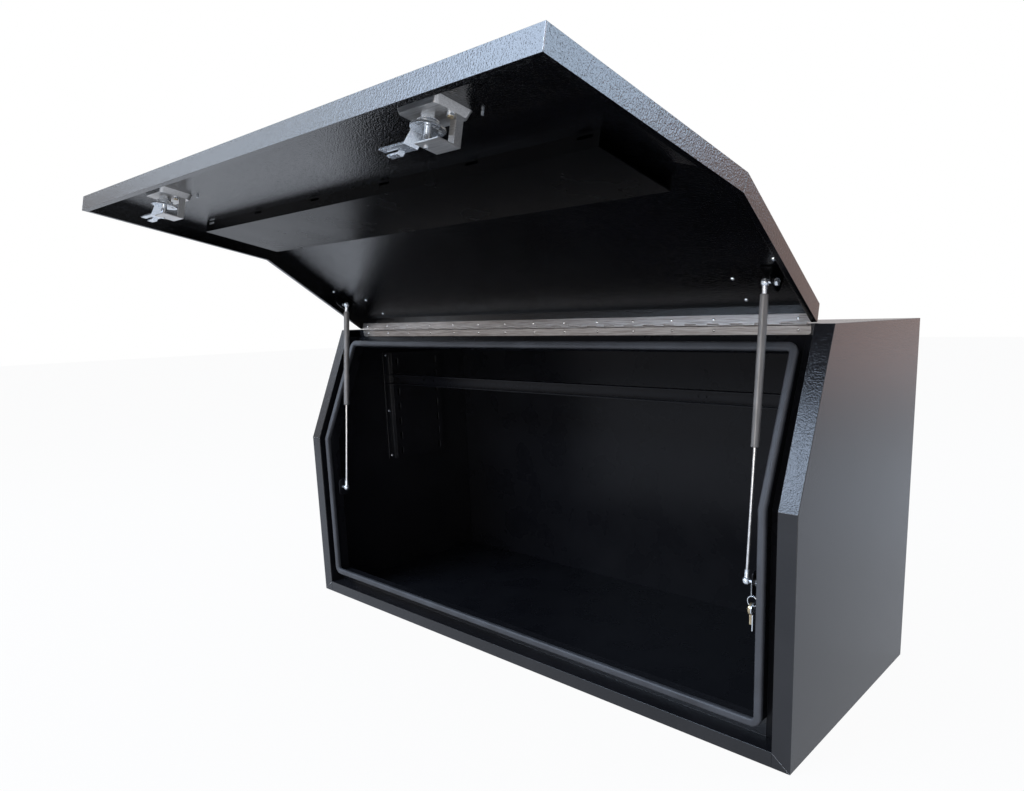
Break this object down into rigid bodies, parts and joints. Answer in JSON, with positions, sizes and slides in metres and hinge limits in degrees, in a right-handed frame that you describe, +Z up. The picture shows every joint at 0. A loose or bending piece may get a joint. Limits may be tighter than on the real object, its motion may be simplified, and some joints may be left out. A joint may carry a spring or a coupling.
{
  "type": "full lid tool box",
  "caption": "Wide sheet metal tool box with a cranked full-front lid on a top piano hinge, held open by two gas struts, with turn locks, a rubber seal and slotted shelf tracks.",
  "frame": {"origin": "centre of the base footprint, on the underside of the floor", "axes": "+X along the width to the right seen from the front, +Y to the back, +Z up; the lid front faces -Y"},
  "size_m": [1.5, 1.1393, 1.1065],
  "materials": {
    "black_powder_coat": "gloss, fine texture",
    "rubber_seal": "satin",
    "stainless_hinge": "brushed",
    "stainless_dish": "brushed",
    "bright_zinc": "bright plated",
    "strut_paint": "satin grey",
    "strut_chrome": "polished",
    "key_brass": "worn"
  },
  "bodies": {
    "box": {"floor_panel": "black_powder_coat", "back_panel": "black_powder_coat", "top_panel": "black_powder_coat", "left_end_panel": "black_powder_coat", "right_end_panel": "black_powder_coat", "left_jamb": "black_powder_coat", "right_jamb": "black_powder_coat", "bottom_sill": "black_powder_coat", "head_channel": "black_powder_coat", "door_seal": "rubber_seal", "hinge_body_leaf": "stainless_hinge", "hinge_pin": "stainless_hinge", "hinge_body_rivets": "bright_zinc", "left_shelf_track": "black_powder_coat", "right_shelf_track": "black_powder_coat", "track_rivets": "bright_zinc", "cross_rail": "black_powder_coat", "left_lower_bracket": "black_powder_coat", "right_lower_bracket": "black_powder_coat", "lower_ball_studs": "bright_zinc", "lower_stud_nuts": "bright_zinc"},
    "lid": {"lid_shell": "black_powder_coat", "lid_stiffener": "black_powder_coat", "hinge_lid_leaf": "stainless_hinge", "hinge_lid_rivets": "bright_zinc", "left_upper_bracket": "black_powder_coat", "right_upper_bracket": "black_powder_coat", "upper_stud_shanks": "bright_zinc", "upper_stud_nuts": "bright_zinc", "lid_screws": "bright_zinc", "left_lock_dish": "stainless_dish", "left_lock_bearing": "bright_zinc", "left_lock_bracket": "stainless_dish", "left_key_housing": "bright_zinc", "right_lock_dish": "stainless_dish", "right_lock_bearing": "bright_zinc", "right_lock_bracket": "stainless_dish", "right_key_housing": "bright_zinc"},
    "left_strut_rod": {"left_strut_rod_end": "bright_zinc", "left_strut_rod": "strut_chrome"},
    "left_strut_tube": {"left_strut_tube": "strut_paint", "left_strut_tube_end": "bright_zinc"},
    "right_strut_rod": {"right_strut_rod_end": "bright_zinc", "right_strut_rod": "strut_chrome"},
    "right_strut_tube": {"right_strut_tube": "strut_paint", "right_strut_tube_end": "bright_zinc"},
    "left_lock": {"left_lock_spindle": "bright_zinc", "left_lock_cam": "bright_zinc", "left_fold_pin": "bright_zinc"},
    "left_handle": {"left_lock_handle": "stainless_dish"},
    "left_key_plug": {"left_key_plug": "key_brass"},
    "right_lock": {"right_lock_spindle": "bright_zinc", "right_lock_cam": "bright_zinc", "right_fold_pin": "bright_zinc"},
    "right_handle": {"right_lock_handle": "stainless_dish"},
    "right_key_plug": {"right_key_plug": "key_brass"},
    "keys": {"key_wire": "bright_zinc", "key_ring": "bright_zinc", "brass_keys": "key_brass", "steel_key": "bright_zinc"}
  },
  "joints": [
    {"name": "lid_hinge", "type": "hinge", "parent": "box", "child": "lid", "pos_m": [0, -0.1383, 0.7788], "axis": [1, 0, 0], "range_deg": [0, 102.3], "stiffness_Nm_per_rad": 240, "springref_deg": -24.69},
    {"name": "left_strut_swing", "type": "hinge", "parent": "box", "child": "left_strut_rod", "pos_m": [-0.643, -0.2673, 0.3267], "axis": [1, 0, 0], "range_deg": [-6.72, 0]},
    {"name": "left_strut_slide", "type": "slide", "parent": "left_strut_rod", "child": "left_strut_tube", "axis": [0, 0.0898, 0.996], "range_m": [-0.16345, 0]},
    {"name": "right_strut_swing", "type": "hinge", "parent": "box", "child": "right_strut_rod", "pos_m": [0.643, -0.2673, 0.3267], "axis": [1, 0, 0], "range_deg": [-6.72, 0]},
    {"name": "right_strut_slide", "type": "slide", "parent": "right_strut_rod", "child": "right_strut_tube", "axis": [0, 0.0898, 0.996], "range_m": [-0.16345, 0]},
    {"name": "left_lock_turn", "type": "hinge", "parent": "lid", "child": "left_lock", "pos_m": [-0.4347, -0.76121, 1.08011], "axis": [0, 0.213, 0.977], "range_deg": [0, 90]},
    {"name": "left_handle_fold", "type": "hinge", "parent": "left_lock", "child": "left_handle", "pos_m": [-0.4347, -0.76217, 1.07572], "axis": [-1, 0, 0], "range_deg": [0, 90]},
    {"name": "left_key_turn", "type": "hinge", "parent": "lid", "child": "left_key_plug", "pos_m": [-0.4007, -0.75339, 1.07841], "axis": [0, 0.213, 0.977], "range_deg": [0, 90]},
    {"name": "right_lock_turn", "type": "hinge", "parent": "lid", "child": "right_lock", "pos_m": [0.4307, -0.76121, 1.08011], "axis": [0, 0.213, 0.977], "range_deg": [0, 90]},
    {"name": "right_handle_fold", "type": "hinge", "parent": "right_lock", "child": "right_handle", "pos_m": [0.4307, -0.76217, 1.07572], "axis": [-1, 0, 0], "range_deg": [0, 90]},
    {"name": "right_key_turn", "type": "hinge", "parent": "lid", "child": "right_key_plug", "pos_m": [0.4647, -0.75339, 1.07841], "axis": [0, 0.213, 0.977], "range_deg": [0, 90]},
    {"name": "keys_swing", "type": "hinge", "parent": "box", "child": "keys", "pos_m": [0.655, -0.2673, 0.3267], "axis": [1, 0, 0], "range_deg": [-20, 20]}
  ],
  "couplings": [
    {"joint": "left_strut_swing", "follows": "lid_hinge", "ratio": -0.065174},
    {"joint": "left_strut_slide", "follows": "lid_hinge", "m_per_rad": -0.091432},
    {"joint": "right_strut_swing", "follows": "lid_hinge", "ratio": -0.065174},
    {"joint": "right_strut_slide", "follows": "lid_hinge", "m_per_rad": -0.091432}
  ]
}
